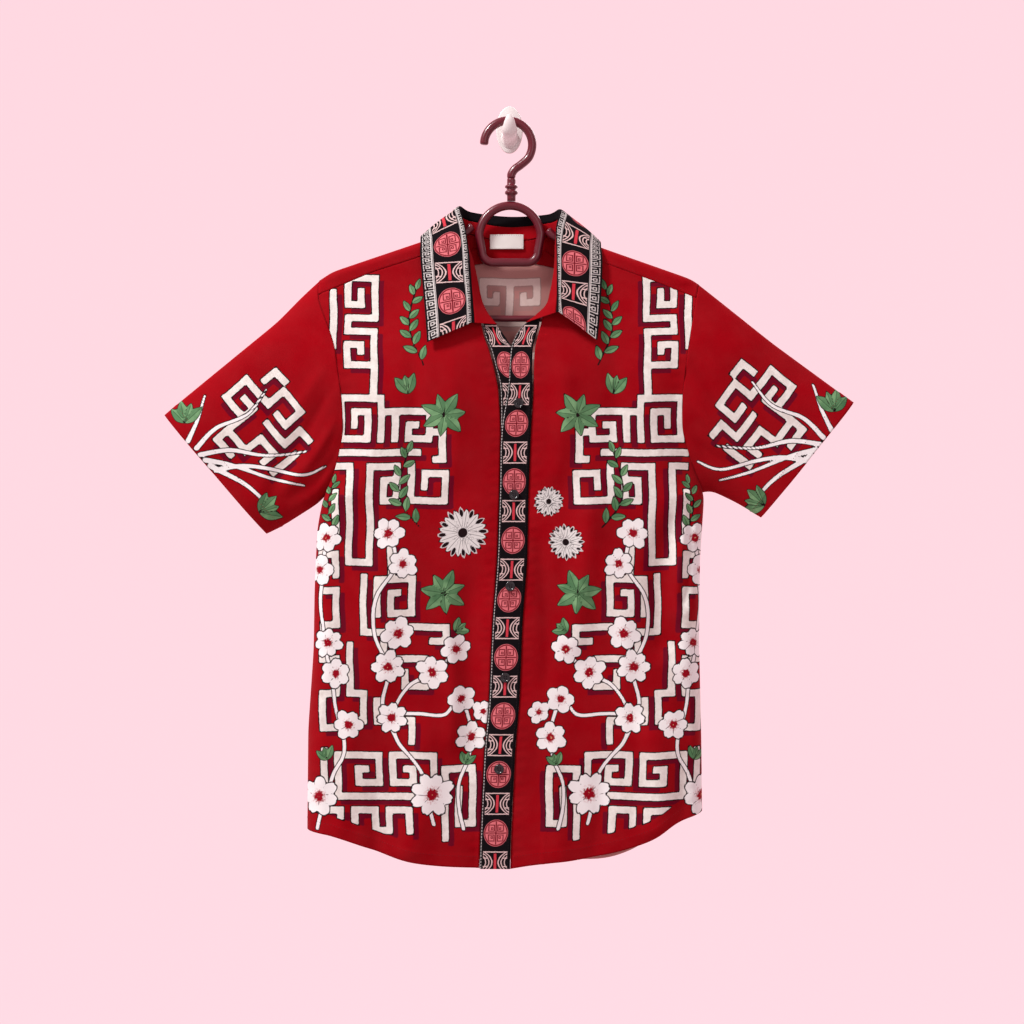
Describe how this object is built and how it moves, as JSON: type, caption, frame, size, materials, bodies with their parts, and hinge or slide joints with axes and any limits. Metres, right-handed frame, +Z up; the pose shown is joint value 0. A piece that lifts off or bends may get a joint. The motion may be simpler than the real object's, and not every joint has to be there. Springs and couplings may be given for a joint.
{
  "type": "batik shirt on a clothes hanger and wall hook",
  "caption": "Short-sleeved red batik shirt with a black roundel-print collar and placket, hanging on a plastic clothes hanger from an adhesive wall hook.",
  "frame": {"origin": "middle of the wall hook's flat back face, on the wall", "axes": "+Z up, -Y out of the wall towards the front of the shirt, +X to the right seen from the front"},
  "size_m": [0.7638, 0.0646, 0.846],
  "materials": {
    "red_batik": "printed cotton, matt",
    "red_cotton": "plain cotton, matt",
    "black_band_print": "printed cotton band, matt",
    "label_tape": "woven tape",
    "black_button": "polished resin",
    "maroon_plastic": "moulded plastic",
    "white_plastic": "moulded plastic"
  },
  "bodies": {
    "root": {"front_left": "red_batik", "front_right": "red_batik", "back": "red_batik", "yoke": "red_cotton", "yoke_facing": "red_cotton", "sleeve_left": "red_batik", "sleeve_right": "red_batik", "collar_stand": "red_cotton", "collar": "black_band_print", "placket_top": "black_band_print", "placket_under": "black_band_print", "neck_label": "label_tape", "button_1": "black_button", "button_2": "black_button", "button_3": "black_button", "button_4": "black_button", "button_5": "black_button", "hanger_hook": "maroon_plastic", "hanger_stem": "maroon_plastic", "hanger_ring": "maroon_plastic", "hanger_arm_left": "maroon_plastic", "hanger_arm_right": "maroon_plastic", "hanger_bar": "maroon_plastic", "wall_hook_pad": "white_plastic", "wall_hook_prong": "white_plastic"}
  },
  "joints": []
}
